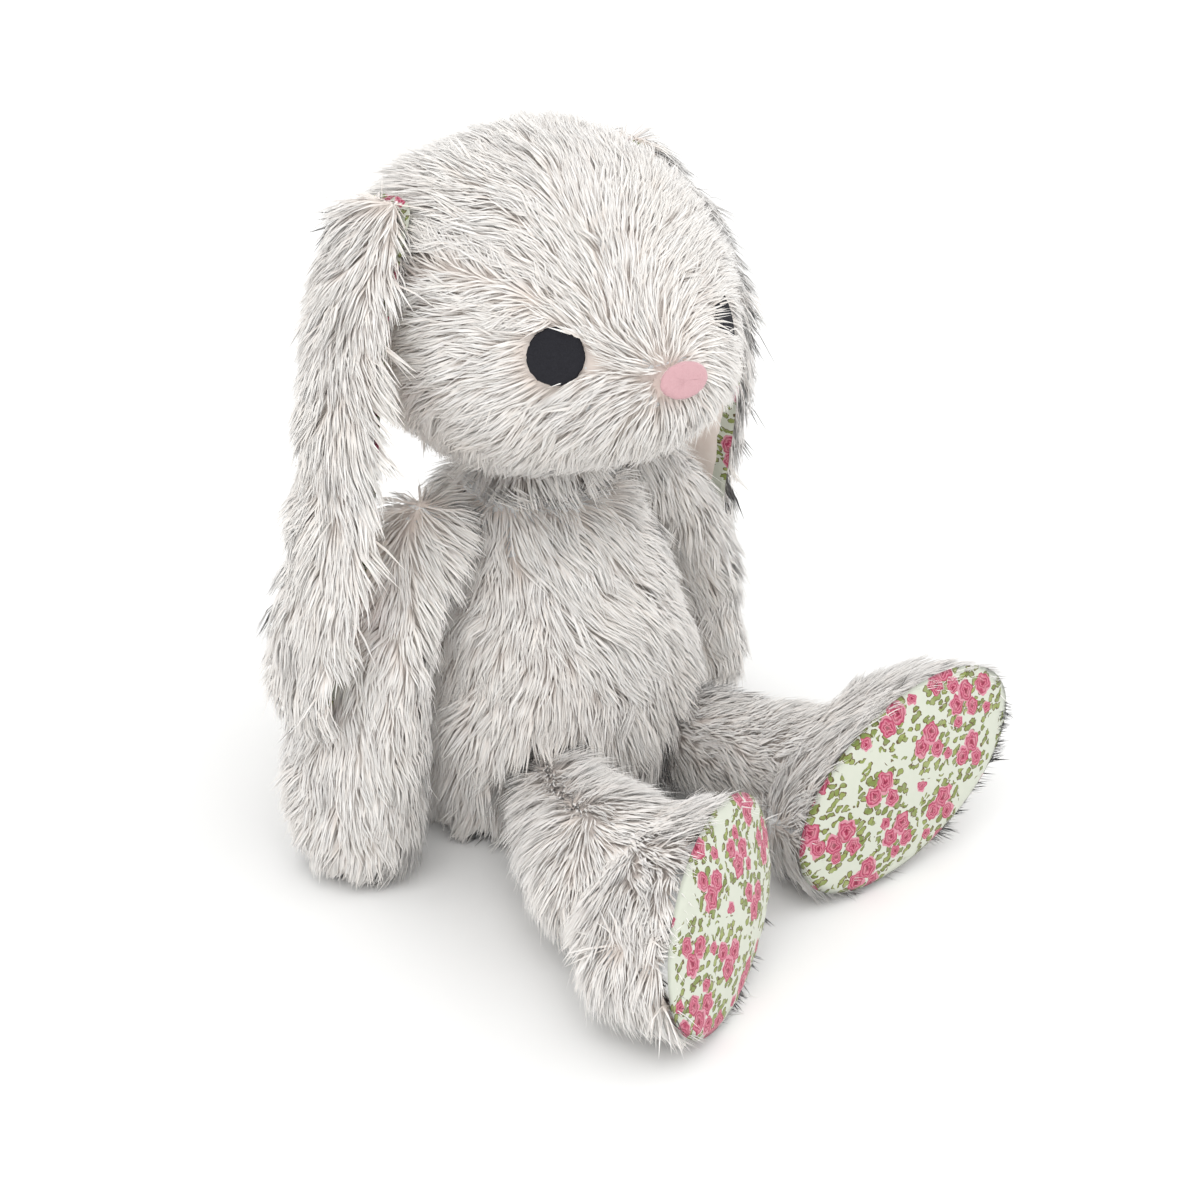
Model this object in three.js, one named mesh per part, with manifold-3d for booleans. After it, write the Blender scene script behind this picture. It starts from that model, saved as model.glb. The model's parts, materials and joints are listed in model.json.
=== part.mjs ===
// A sitting lop-eared rabbit, sewn from long-pile plush and stuffed.
// Millimetres, +Z up. The rabbit faces -Y, its left side is +X, and the origin is on the surface it sits on,
// under the middle of its seat. Every plush panel is a shell as thick as its backing with the pile lying on it,
// and the stuffing fills the shells. Whatever touches the ground is flattened at z = 0.
import * as THREE from 'three';
import { mergeVertices } from 'three/addons/utils/BufferGeometryUtils.js';
import Module from 'manifold-3d';

const wasm = await Module();
wasm.setup();

// ---- driving dimensions -------------------------------------------------------------------------------------

const PANEL = 5;            // plush panel, backing and pile together
const COTTON = 1.6;         // cotton lining and sole cloth with its interfacing
const GAP = 0.3;            // clearance between pieces that lie against each other
const JOINT_GAP = 1.2;      // clearance between a limb's round root and the dimple it turns in
const REACH = 400;          // half size of a block used to cut everything on one side of a plane

const AROUND = 16;          // facets around a limb
const CAP_RINGS = 3;        // rings in a rounded end
const HEAD_FACETS = [22, 14];   // around the head and from its crown to its chin

// Torso: height of each level, centre in Y, half width in X and half depth in Y.
const TORSO_LEVELS = [
  [0, 2, -2, 44, 44],
  [0, 0, 18, 60, 58],
  [0, -2, 44, 63, 62],
  [0, -3, 74, 55, 58],
  [0, -5, 102, 43, 47],
  [0, -6, 122, 31, 34],
];
const TORSO_CAPS = [12, 9];     // how far the rounded bottom and top go past the first and last level
const TORSO_SEAM_Y = -4;        // side seam between the front and the back panel
const PELLET_BAG_TOP = 24;
const TAIL = { at: [0, 68, 30], radius: 19, opening: 7 };

// Neck and head. The head group turns about the neck, and its own frame starts at the neck's pivot.
const NECK = { at: [0, -6, 128], radius: 20 };
const HEAD_TURN = -10;      // degrees about +Z, towards the rabbit's right
const HEAD = { at: [0, 0, 63], half: [68, 65, 60] };
const MUZZLE = { towards: [0, -1, -0.22], push: 21, spread: 0.62 };
const CHEEK = { towards: [0.66, -0.68, -0.42], push: 6, spread: 0.5 };
const GUSSET_WIDTH = 34;    // strip from the nose over the crown to the nape
const GUSSET_FROM = 56;     // height above the neck's pivot where that strip starts at the nose and nape
const EYE = { towards: [0.53, -0.848, 0.07], radius: 9.5, thick: 1.6 };
const NOSE = { towards: [0, -1, -0.06], half: [10, 6], thick: 2.4 };

// Ears hang from high on the head, over the outside of the arms: centre line from root to tip,
// half width and half thickness.
const EARS = {
  left: {
    line: [
      [57, 8, 229, 17, 5], [77, -1, 197, 22, 6], [92, 0, 163, 24, 6],
      [98, 5, 130, 23, 6], [99, 10, 98, 22, 5.5], [106, 12, 74, 17, 4],
    ],
    wide: [-0.08, 1, 0],
  },
  right: {
    line: [
      [-57, 9, 228, 17, 5], [-76, 4, 196, 21, 6], [-83, 1, 165, 22, 6],
      [-90, -1, 130, 22, 6], [-99, 0, 98, 21, 5.5], [-106, 1, 72, 17, 4],
    ],
    wide: [0.12, 1, 0],
  },
};
const EAR_END = 7;
const EAR_LINING_WIDTH = 0.92;    // of the plush layer's width
const EAR_LINING_DEPTH = 0.3;     // of the plush layer's depth

// Arms: from the shoulder dimple down to a mitten paw that is flattened on the ground.
const SHOULDER_RADIUS = 16;
const ARMS = {
  left: {
    shoulder: [52, -3, 117],
    line: [[71, -3, 97, 15.5, 21], [82, -1, 74, 18, 25], [87, 1, 50, 21, 28], [88, 2, 24, 22, 29]],
  },
  right: {
    shoulder: [-52, -3, 117],
    line: [[-70, -3, 97, 15.5, 21], [-80, -5, 74, 18, 25], [-88, -4, 50, 21, 27], [-89, -3, 24, 22, 28]],
  },
};
const PAW_END = 26;

// Legs: from the hip dimple forward to a foot that has flopped outwards. Each line runs from the hip to the ankle
// and holds x, y, z and two half widths. The sole is an oval, given by its centre, the direction of its toes and
// the direction it faces.
const HIP_RADIUS = 21;
const SOLE_CROWN = 3;           // how far the middle of the sole bulges past its rim
const SOLE_MARGIN = 1;          // plush seen around the sole
// Sections of the foot: how far behind the sole, and how much of the sole's size. The last is ahead of the sole's
// plane, where the foot is cut off.
const FOOT_SECTIONS = [[34, 0.78], [20, 0.97], [0, 1], [-6, 1]];
const FOOT_HEEL_CAP = 11;
const LEG_HOLLOW_PAST = 2;      // how far the hollow for the stuffing runs past the sole's plane
const LEGS = {
  left: {
    line: [[35, -56, 24, 20, 20], [31, -112, 30, 23, 23]],
    sole: [44, -143, 34.5],
    toes: [0.92, -0.05, 0.3],
    faces: [0, -1, 0.2],
    half: [57, 30],
  },
  right: {
    line: [[-37, -55, 24, 20, 20], [-53, -80, 26, 24.5, 24.5], [-69, -109, 31, 29.5, 29.5]],
    sole: [-68, -154, 33.5],
    toes: [-0.9, -0.38, -0.2],
    faces: [0.4, -0.9, 0.2],
    half: [49, 32],
  },
};

// ---- materials ----------------------------------------------------------------------------------------------

const FINISHES = {
  plush: { color: '#ece7e1', roughness: 0.95 },
  floral_cotton: { color: '#dccfc6', roughness: 0.8 },
  felt: { color: '#17171a', roughness: 0.9 },
  velour: { color: '#dfb0b4', roughness: 0.85 },
  fibre_fill: { color: '#fafafa', roughness: 1.0 },
  pellet_cloth: { color: '#d8d4c8', roughness: 0.9 },
};

// ---- solids -------------------------------------------------------------------------------------------------

function vector(values) {
  return new THREE.Vector3(...values);
}

// The geometry as a solid that can be joined and cut.
function solidOf(geometry) {
  geometry.deleteAttribute('normal');
  geometry.deleteAttribute('uv');
  const merged = mergeVertices(geometry, 1e-4);
  const points = merged.attributes.position.array;
  const facesOut = signedVolume(geometry) > 0;
  const faces = [];
  for (let i = 0; i < merged.index.count; i += 3) {
    const [a, b, c] = [merged.index.getX(i), merged.index.getX(i + 1), merged.index.getX(i + 2)];
    if (a !== b && b !== c && c !== a) faces.push(facesOut ? [a, b, c] : [a, c, b]);
  }
  const triVerts = Uint32Array.from(faces.flat());
  return new wasm.Manifold(new wasm.Mesh({ numProp: 3, vertProperties: Float32Array.from(points), triVerts }));
}

function signedVolume(geometry) {
  const place = geometry.attributes.position;
  const corner = [new THREE.Vector3(), new THREE.Vector3(), new THREE.Vector3()];
  let volume = 0;
  for (let i = 0; i < geometry.index.count; i += 3) {
    corner.forEach((point, k) => point.fromBufferAttribute(place, geometry.index.getX(i + k)));
    volume += corner[0].dot(corner[1].clone().cross(corner[2]));
  }
  return volume;
}

function geometryOf(solid) {
  const mesh = solid.getMesh();
  const geometry = new THREE.BufferGeometry();
  geometry.setAttribute('position', new THREE.BufferAttribute(mesh.vertProperties, 3));
  geometry.setIndex(new THREE.BufferAttribute(mesh.triVerts, 1));
  geometry.computeVertexNormals();
  return geometry;
}

// A closed skin over a line of oval sections, each [x, y, z, half width, half depth], with rounded ends.
// `wide` is the direction of the half widths, `inset` draws the skin that far inside, and `section` gives
// the outline of a section for an angle around it.
function skin(line, options) {
  const { wide, startCap, endCap, inset, rings, section } = { ...PLAIN_SKIN, ...options };
  const centres = new THREE.CatmullRomCurve3(line.map(([x, y, z]) => new THREE.Vector3(x, y, z)));
  const halves = new THREE.CatmullRomCurve3(line.map(([, , , w, d]) => new THREE.Vector3(w, d, 0)));
  const hoops = [];
  const addHoop = (u, along, scale) => {
    const tangent = centres.getTangent(u);
    const across = vector(wide).addScaledVector(tangent, -vector(wide).dot(tangent)).normalize();
    const through = tangent.clone().cross(across);
    const half = halves.getPoint(u).subScalar(inset).multiplyScalar(scale);
    hoops.push({ centre: centres.getPoint(u).addScaledVector(tangent, along), across, through, half });
  };
  for (let k = 0; k < CAP_RINGS; k += 1) {
    const angle = (k / CAP_RINGS) * (Math.PI / 2);
    addHoop(0, -(startCap - inset) * Math.cos(angle), Math.sin(angle));
  }
  for (let k = 0; k <= rings; k += 1) addHoop(k / rings, 0, 1);
  for (let k = CAP_RINGS - 1; k >= 0; k -= 1) {
    const angle = (k / CAP_RINGS) * (Math.PI / 2);
    addHoop(1, (endCap - inset) * Math.cos(angle), Math.sin(angle));
  }
  const geometry = new THREE.SphereGeometry(1, AROUND, hoops.length - 1);
  const place = geometry.attributes.position;
  hoops.forEach((hoop, row) => {
    for (let column = 0; column <= AROUND; column += 1) {
      const [w, d] = section(((column % AROUND) / AROUND) * 2 * Math.PI, hoop.half);
      const point = hoop.centre.clone().addScaledVector(hoop.across, w).addScaledVector(hoop.through, d);
      place.setXYZ(row * (AROUND + 1) + column, point.x, point.y, point.z);
    }
  });
  return solidOf(geometry);
}

const PLAIN_SKIN = { wide: [1, 0, 0], startCap: 0, endCap: 0, inset: 0, rings: 6, section: ovalSection };

function ovalSection(angle, half) {
  return [half.x * Math.cos(angle), half.y * Math.sin(angle)];
}

function ball(centre, radius) {
  const geometry = new THREE.SphereGeometry(radius, AROUND, AROUND / 2);
  geometry.translate(...centre);
  return solidOf(geometry);
}

// Everything on the side of a plane that its normal points to.
function beyond(point, normal) {
  const block = new THREE.BoxGeometry(2 * REACH, 2 * REACH, 2 * REACH);
  block.translate(0, 0, REACH);
  const up = new THREE.Vector3(0, 0, 1);
  block.applyQuaternion(new THREE.Quaternion().setFromUnitVectors(up, vector(normal).normalize()));
  block.translate(...point);
  return solidOf(block);
}

function aboveGround(height) {
  return beyond([0, 0, height], [0, 0, 1]);
}

// The two halves of a solid, parted by a seam with a small gap.
function halves(solid, point, normal) {
  const shift = vector(normal).normalize().multiplyScalar(GAP / 2);
  const ahead = vector(point).add(shift).toArray();
  const behind = vector(point).sub(shift).toArray();
  return [solid.intersect(beyond(ahead, normal)), solid.intersect(beyond(behind, vector(normal).negate()))];
}

function piece(name, solid, finish) {
  const material = new THREE.MeshStandardMaterial({ ...FINISHES[finish], metalness: 0 });
  const mesh = new THREE.Mesh(geometryOf(solid), material);
  mesh.name = name;
  return mesh;
}

// ---- torso --------------------------------------------------------------------------------------------------

function torsoSolid(inset) {
  const [startCap, endCap] = TORSO_CAPS;
  const body = skin(TORSO_LEVELS, { startCap, endCap, inset, rings: 7 });
  return body.intersect(aboveGround(inset));
}

// The dimples that the neck, the arms and the legs turn in.
function withDimples(solid) {
  let dimpled = solid.subtract(ball(NECK.at, NECK.radius + JOINT_GAP));
  for (const side of ['left', 'right']) {
    dimpled = dimpled.subtract(ball(ARMS[side].shoulder, SHOULDER_RADIUS + JOINT_GAP));
    dimpled = dimpled.subtract(ball(LEGS[side].line[0].slice(0, 3), HIP_RADIUS + JOINT_GAP));
  }
  return dimpled;
}

function makeTorso() {
  const shell = withDimples(torsoSolid(0)).subtract(torsoSolid(PANEL));
  const [back, front] = halves(shell, [0, TORSO_SEAM_Y, 0], [0, 1, 0]);
  const filling = withDimples(torsoSolid(PANEL + GAP));
  const [fibre, pellets] = halves(filling, [0, 0, PELLET_BAG_TOP], [0, 0, 1]);
  const group = new THREE.Group();
  group.add(piece('torso_front_panel', front, 'plush'));
  group.add(piece('torso_back_panel', back, 'plush'));
  group.add(piece('torso_stuffing', fibre, 'fibre_fill'));
  group.add(piece('seat_pellet_bag', pellets, 'pellet_cloth'));
  return group;
}

function makeTail() {
  const clear = torsoSolid(-GAP);
  const cover = ball(TAIL.at, TAIL.radius).subtract(clear);
  const filling = ball(TAIL.at, TAIL.radius - PANEL).subtract(torsoSolid(-GAP - PANEL));
  const [x, y, z] = TAIL.at;
  const tube = [TAIL.opening, TAIL.opening];
  const opening = skin([[x, y - TAIL.radius, z, ...tube], [x, y, z, ...tube]], { rings: 1 });
  const hollow = ball(TAIL.at, TAIL.radius - PANEL + GAP).add(opening);
  const group = new THREE.Group();
  group.add(piece('tail_cover', cover.subtract(hollow), 'plush'));
  group.add(piece('tail_stuffing', filling, 'fibre_fill'));
  return group;
}

// ---- head ---------------------------------------------------------------------------------------------------

// Where the head's surface lies in a direction from its middle, in the head's own frame.
function headPoint(direction, inset) {
  const towards = direction.clone().normalize();
  const point = new THREE.Vector3(...HEAD.half).subScalar(inset).multiply(towards);
  const bumps = [MUZZLE, CHEEK, { ...CHEEK, towards: [-CHEEK.towards[0], CHEEK.towards[1], CHEEK.towards[2]] }];
  for (const bump of bumps) {
    const aim = vector(bump.towards).normalize();
    const angle = aim.angleTo(towards);
    point.addScaledVector(aim, bump.push * Math.exp(-((angle / bump.spread) ** 2)));
  }
  return point.add(vector(HEAD.at));
}

function headSolid(inset) {
  const geometry = new THREE.SphereGeometry(1, ...HEAD_FACETS);
  geometry.rotateX(Math.PI / 2);
  const place = geometry.attributes.position;
  const direction = new THREE.Vector3();
  for (let i = 0; i < place.count; i += 1) {
    const point = headPoint(direction.fromBufferAttribute(place, i), inset);
    place.setXYZ(i, point.x, point.y, point.z);
  }
  return solidOf(geometry);
}

// A flat oval patch on the head's surface, facing out.
function patch(towards, half, thick, lift) {
  const [a, b] = half;
  const profile = [[0, 0], [0.96, 0], [1, thick / 2], [0.9, thick * 0.85], [0, thick]];
  const geometry = new THREE.LatheGeometry(profile.map(([r, h]) => new THREE.Vector2(r, h)), AROUND);
  geometry.rotateX(Math.PI / 2);
  geometry.scale(a, b, 1);
  const aim = vector(towards);
  const step = 0.05;
  const base = headPoint(aim, 0);
  const aside = headPoint(aim.clone().add(new THREE.Vector3(step, 0, 0)), 0).sub(base);
  const above = headPoint(aim.clone().add(new THREE.Vector3(0, 0, step)), 0).sub(base);
  const normal = aside.cross(above).normalize();
  if (normal.dot(aim) < 0) normal.negate();
  const across = new THREE.Vector3(0, 0, 1).cross(normal).normalize();
  const frame = new THREE.Matrix4().makeBasis(across, normal.clone().cross(across), normal);
  geometry.applyMatrix4(frame.setPosition(base.addScaledVector(normal, lift)));
  return solidOf(geometry);
}

function makeHead() {
  const dimple = ball([0, 0, 0], NECK.radius + JOINT_GAP);
  const shell = headSolid(0).subtract(headSolid(PANEL)).subtract(dimple);
  const strip = new THREE.BoxGeometry(GUSSET_WIDTH, 2 * REACH, REACH);
  strip.translate(0, 0, REACH / 2 + GUSSET_FROM);
  const stripWithGap = new THREE.BoxGeometry(GUSSET_WIDTH + 2 * GAP, 2 * REACH, REACH);
  stripWithGap.translate(0, 0, REACH / 2 + GUSSET_FROM - GAP);
  const [left, right] = halves(shell.subtract(solidOf(stripWithGap)), [0, 0, 0], [1, 0, 0]);
  const group = new THREE.Group();
  group.add(piece('head_gusset', shell.intersect(solidOf(strip)), 'plush'));
  group.add(piece('head_left_panel', left, 'plush'));
  group.add(piece('head_right_panel', right, 'plush'));
  group.add(piece('head_stuffing', headSolid(PANEL + GAP).subtract(dimple), 'fibre_fill'));
  for (const [name, side] of [['eye_left', 1], ['eye_right', -1]]) {
    const towards = [side * EYE.towards[0], EYE.towards[1], EYE.towards[2]];
    group.add(piece(name, patch(towards, [EYE.radius, EYE.radius], EYE.thick, GAP), 'felt'));
  }
  group.add(piece('nose', patch(NOSE.towards, NOSE.half, NOSE.thick, GAP), 'velour'));
  group.position.set(...NECK.at);
  group.rotation.z = THREE.MathUtils.degToRad(HEAD_TURN);
  return group;
}

function makeNeck() {
  const group = new THREE.Group();
  group.add(piece('neck_stuffing', ball([0, 0, 0], NECK.radius), 'fibre_fill'));
  group.position.set(...NECK.at);
  return group;
}

// ---- ears ---------------------------------------------------------------------------------------------------

// Each ear is a plush outer layer lying on a cotton lining that faces the head.
function makeEar(side) {
  const { line, wide } = EARS[side];
  const outwards = side === 'left' ? 1 : -1;
  const plushSection = (angle, half) => [half.x * Math.cos(angle), outwards * half.y * Math.max(Math.sin(angle), 0)];
  const liningSection = (angle, half) => [
    half.x * EAR_LINING_WIDTH * Math.cos(angle),
    -outwards * (GAP + half.y * EAR_LINING_DEPTH * Math.max(Math.sin(angle), 0)),
  ];
  const ends = { wide, startCap: EAR_END, endCap: EAR_END };
  const group = new THREE.Group();
  group.add(piece(`ear_${side}_plush`, skin(line, { ...ends, section: plushSection }), 'plush'));
  group.add(piece(`ear_${side}_lining`, skin(line, { ...ends, section: liningSection }), 'floral_cotton'));
  return group;
}

// ---- arms ---------------------------------------------------------------------------------------------------

function armSolid(side, inset) {
  const { shoulder, line } = ARMS[side];
  const whole = [[...shoulder, SHOULDER_RADIUS, SHOULDER_RADIUS], ...line];
  const limb = skin(whole, { wide: [1, 0, 0], startCap: SHOULDER_RADIUS, endCap: PAW_END, inset });
  return limb.intersect(aboveGround(inset));
}

function makeArm(side) {
  const shell = armSolid(side, 0).subtract(armSolid(side, PANEL));
  const middle = ARMS[side].line[1];
  const [front, back] = halves(shell, middle.slice(0, 3), [0, -1, 0]);
  const group = new THREE.Group();
  group.add(piece(`arm_${side}_front_panel`, front, 'plush'));
  group.add(piece(`arm_${side}_back_panel`, back, 'plush'));
  group.add(piece(`arm_${side}_stuffing`, armSolid(side, PANEL + GAP), 'fibre_fill'));
  return group;
}

// ---- legs ---------------------------------------------------------------------------------------------------

// The foot's axes: along the toes, across the sole, and out of it.
function soleAxes(side) {
  const toes = vector(LEGS[side].toes).normalize();
  const faces = vector(LEGS[side].faces);
  faces.addScaledVector(toes, -faces.dot(toes)).normalize();
  return { toes, faces, across: faces.clone().cross(toes) };
}

// The solid of a leg and its foot, cut off `front` millimetres past the sole's plane.
function legSolid(side, inset, front) {
  const { line, sole, half } = LEGS[side];
  const { toes, faces } = soleAxes(side);
  const leg = skin(line, { startCap: line[0][3], endCap: line.at(-1)[3], inset, rings: 3 });
  const footLine = FOOT_SECTIONS.map(([back, share]) => {
    const centre = vector(sole).addScaledVector(faces, -back);
    return [...centre.toArray(), half[0] * share, half[1] * share];
  });
  const foot = skin(footLine, { wide: toes.toArray(), startCap: FOOT_HEEL_CAP, inset, rings: 4 });
  return leg.add(foot)
    .intersect(beyond(vector(sole).addScaledVector(faces, front).toArray(), faces.clone().negate().toArray()))
    .intersect(aboveGround(inset));
}

function makeSole(side) {
  const { sole, half } = LEGS[side];
  const { toes, faces, across } = soleAxes(side);
  const profile = [[0, 0], [0.97, 0], [1, COTTON / 2], [0.97, COTTON]];
  for (const radius of [0.7, 0.35, 0]) profile.push([radius, COTTON + SOLE_CROWN * (1 - radius ** 2)]);
  const geometry = new THREE.LatheGeometry(profile.map(([r, h]) => new THREE.Vector2(r, h)), AROUND + 4);
  geometry.rotateX(Math.PI / 2);
  geometry.scale(half[0] - SOLE_MARGIN, half[1] - SOLE_MARGIN, 1);
  const frame = new THREE.Matrix4().makeBasis(toes, across, faces);
  geometry.applyMatrix4(frame.setPosition(vector(sole).addScaledVector(faces, GAP)));
  return solidOf(geometry).intersect(aboveGround(0));
}

function makeLeg(side) {
  const { sole } = LEGS[side];
  const shell = legSolid(side, 0, 0).subtract(legSolid(side, PANEL, LEG_HOLLOW_PAST));
  const seamNormal = soleAxes(side).across.multiplyScalar(side === 'left' ? 1 : -1);
  const [inner, outer] = halves(shell, sole, seamNormal.toArray());
  const group = new THREE.Group();
  group.add(piece(`leg_${side}_inner_panel`, inner, 'plush'));
  group.add(piece(`leg_${side}_outer_panel`, outer, 'plush'));
  group.add(piece(`leg_${side}_stuffing`, legSolid(side, PANEL + GAP, 0), 'fibre_fill'));
  group.add(piece(`sole_${side}`, makeSole(side), 'floral_cotton'));
  return group;
}

// ---- the whole rabbit ---------------------------------------------------------------------------------------

const rabbit = new THREE.Group();
rabbit.add(makeTorso(), makeTail(), makeNeck(), makeHead());
for (const side of ['left', 'right']) rabbit.add(makeEar(side), makeArm(side), makeLeg(side));

export default rabbit;
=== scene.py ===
"""Looks of a sitting lop-eared rabbit in long-pile plush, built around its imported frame."""

import json
import math
from collections import namedtuple

import bmesh
import bpy
import numpy as np
from bpy.props import FloatProperty, FloatVectorProperty, PointerProperty
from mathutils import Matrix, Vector
from mathutils.bvhtree import BVHTree
from mathutils.kdtree import KDTree

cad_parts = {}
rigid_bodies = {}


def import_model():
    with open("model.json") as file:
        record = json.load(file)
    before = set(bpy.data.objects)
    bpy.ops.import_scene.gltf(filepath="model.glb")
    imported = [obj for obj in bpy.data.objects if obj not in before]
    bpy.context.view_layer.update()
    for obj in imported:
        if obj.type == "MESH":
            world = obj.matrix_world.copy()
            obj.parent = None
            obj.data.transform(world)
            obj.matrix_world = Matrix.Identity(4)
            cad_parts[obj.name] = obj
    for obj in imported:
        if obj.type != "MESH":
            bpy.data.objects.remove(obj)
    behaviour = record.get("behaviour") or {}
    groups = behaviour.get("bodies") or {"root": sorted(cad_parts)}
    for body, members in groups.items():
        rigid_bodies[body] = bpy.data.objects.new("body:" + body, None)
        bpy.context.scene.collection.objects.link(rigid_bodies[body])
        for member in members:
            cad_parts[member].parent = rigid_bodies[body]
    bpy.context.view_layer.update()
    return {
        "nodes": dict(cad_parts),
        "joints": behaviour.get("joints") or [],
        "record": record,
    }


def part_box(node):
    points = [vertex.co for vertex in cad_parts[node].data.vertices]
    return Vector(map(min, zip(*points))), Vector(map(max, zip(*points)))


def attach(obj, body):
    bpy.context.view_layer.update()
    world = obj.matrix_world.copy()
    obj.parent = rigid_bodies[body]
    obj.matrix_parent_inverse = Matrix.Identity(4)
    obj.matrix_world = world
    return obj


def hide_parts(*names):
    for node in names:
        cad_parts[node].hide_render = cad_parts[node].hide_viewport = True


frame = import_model()

bl_info = {
    "name": "Stuffed rabbit looks",
    "version": (1, 0, 0),
    "blender": (4, 5, 0),
    "location": "View3D > Sidebar > Rabbit",
    "description": "Covers, pile, printed cotton, face and stage of a stuffed rabbit",
    "category": "Object",
}

MM = 0.001
SEED = 41

# ---- sizes ------------------------------------------------------------------------------------------------

VOXEL = 4 * MM  # spacing of a cover's vertices
BACKING_DEPTH = 4.4 * MM  # how far the knitted backing lies under the plush panel's outside
GROUND_CLEARANCE = 0.5 * MM  # the lowest that any fibre lies
PANEL_HIDDEN = 2.2 * MM  # backing this close to a neighbouring limb grows no pile

# Pile: length of a lock, its width, locks to a square centimetre, distance between the middles of two
# gathers of locks, how strongly their tips gather, and the angle in degrees at which a lock leaves the backing.
Pile = namedtuple("Pile", "length width per_cm2 clump gather lift")
BODY_PILE = Pile(16 * MM, 0.62 * MM, 86, 4.4 * MM, 0.38, 38)
HEAD_PILE = Pile(13 * MM, 0.55 * MM, 92, 3.6 * MM, 0.28, 40)
EAR_PILE = Pile(14 * MM, 0.6 * MM, 95, 4 * MM, 0.4, 32)
FOOT_PILE = Pile(13 * MM, 0.58 * MM, 92, 3.8 * MM, 0.28, 31)
TAIL_PILE = Pile(14 * MM, 0.65 * MM, 80, 4 * MM, 0.4, 50)
NECK_PILE = Pile(20 * MM, 0.65 * MM, 90, 4 * MM, 0.4, 50)
OWN_ROUNDNESS = 0.02  # how much of a lock's own shape shows in its shading
SWIRL = 26 * MM  # size of the patches in which the pile has been brushed one way

TIPS_OVER_EDGES = 0.04  # share of the locks that may end over a bare place
PARTING = 7 * MM  # how far from a seam the pile is combed away from it
# How far the eyes and the nose are pressed into the pile, and how much of the left eye, the right eye and the
# nose the pile leaves clear.
FACE_DEPTH = {"felt": 4.5 * MM, "velour": 2.5 * MM}
FACE_REACH = (0.7, 1.0, 0.5)
EAR_ROOT_FURRED = 34 * MM  # an ear is furred all round this far below its top
EAR_ROOT_REACH = 40 * MM  # head pile this near an ear's root grows longer
EAR_ROOT_LONGER = 1.2  # and by up to this share
SHOULDER_REACH = 34 * MM  # the same for an arm's pile at the shoulder
SHOULDER_LONGER = 0.25

# Where the pile parts over a seam, in millimetres: from the right ear's root towards the eye, and across the
# right foot.
HEAD_SEAM = ((-66, -10, 205), (-59, -21, 216), (-54, -34, 215), (-49, -47, 211), (-44, -56, 207))
FOOT_SEAM = ((-116, -128, 33), (-113, -146, 38), (-110, -160, 40))

CLOTH_PRESSURE = 4.0
CLOTH_FRAMES = 20
CLOTH_MOST = 4 * MM  # the furthest that the pressure may push a cover out
SEAM_HELD = 4.5 * MM  # a cover is held where its second nearest panel is closer than this

# How far to look for a neighbouring limb, for the panel that a lock belongs to, and for the panels at a seam.
NEIGHBOUR_SEARCH = 12 * MM
PANEL_SEARCH = 30 * MM
SEAM_SEARCH = 8 * MM

SOLE_CROWN = 4.4 * MM  # how far a sole's middle stands out
SOLE_TUCK = 0.6 * MM  # how far its rim is tucked under

# The wave texture's bands are 2 pi times these apart: 8.8 mm for the knit and 4.4 mm for the threads, both much
# coarser than in real cloth. The texture multiplies its scale by WAVE_FACTOR.
KNIT_WAVE = 1.4 * MM
THREAD_WAVE = 0.7 * MM
WAVE_FACTOR = 20

# ---- colours ----------------------------------------------------------------------------------------------


def linear(hex_colour):
    """An sRGB hex colour as linear red, green and blue."""
    channels = [int(hex_colour[i : i + 2], 16) / 255 for i in (1, 3, 5)]
    return tuple(c / 12.92 if c <= 0.04045 else ((c + 0.055) / 1.055) ** 2.4 for c in channels)


def shade(hex_colour):
    """The same with a full alpha, as a node socket takes it."""
    return (*linear(hex_colour), 1.0)


# ---- settings a user would change -------------------------------------------------------------------------


def length_property(name, description, default):
    return FloatProperty(name=name, description=description, default=default, min=0, unit="LENGTH")


def colour_property(name, description, hex_colour):
    return FloatVectorProperty(
        name=name,
        description=description,
        default=linear(hex_colour),
        subtype="COLOR",
        size=3,
        min=0,
        max=1,
    )


class RabbitPlushSettings(bpy.types.PropertyGroup):
    """Pile of the plush."""

    body_pile: length_property("Body pile", "Length of the locks on the body and arms", BODY_PILE.length)
    head_pile: length_property("Head pile", "Length of the locks on the head", HEAD_PILE.length)
    ear_pile: length_property("Ear pile", "Length of the locks on the ears", EAR_PILE.length)
    foot_pile: length_property("Foot pile", "Length of the locks on the legs and feet", FOOT_PILE.length)
    tip_colour: colour_property("Tips", "Colour of the pile's tips", "#fdfcfa")
    # The roots' colour is painted shade deep in the pile: darker and warmer than the tips.
    root_shade_colour: colour_property("Roots", "Colour deep in the pile", "#f6ece4")


class RabbitCottonSettings(bpy.types.PropertyGroup):
    """Printed cotton of the soles and the ear linings."""

    repeat: length_property("Repeat", "Distance between two sprays of roses", 21 * MM)
    ground_colour: colour_property("Ground", "Cloth between the flowers", "#c9cdbf")
    rose_colour: colour_property("Rose", "Middle tone of a rose", "#b03c5d")
    leaf_colour: colour_property("Leaf", "Green of the leaves", "#6f7e3a")


class RabbitFaceSettings(bpy.types.PropertyGroup):
    """Felt eyes and velour nose."""

    eye_colour: colour_property("Eyes", "Colour of the felt", "#19191c")
    nose_colour: colour_property("Nose", "Colour of the velour", "#c4959a")


class RabbitStageSettings(bpy.types.PropertyGroup):
    """Floor, light and camera."""

    floor_colour: colour_property("Floor", "Colour of the floor", "#f4f4f3")
    key_power: FloatProperty(
        name="Key light",
        description="Power of the big soft light",
        default=8,
        min=0,
        unit="POWER",
    )


# ---- materials --------------------------------------------------------------------------------------------


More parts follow.
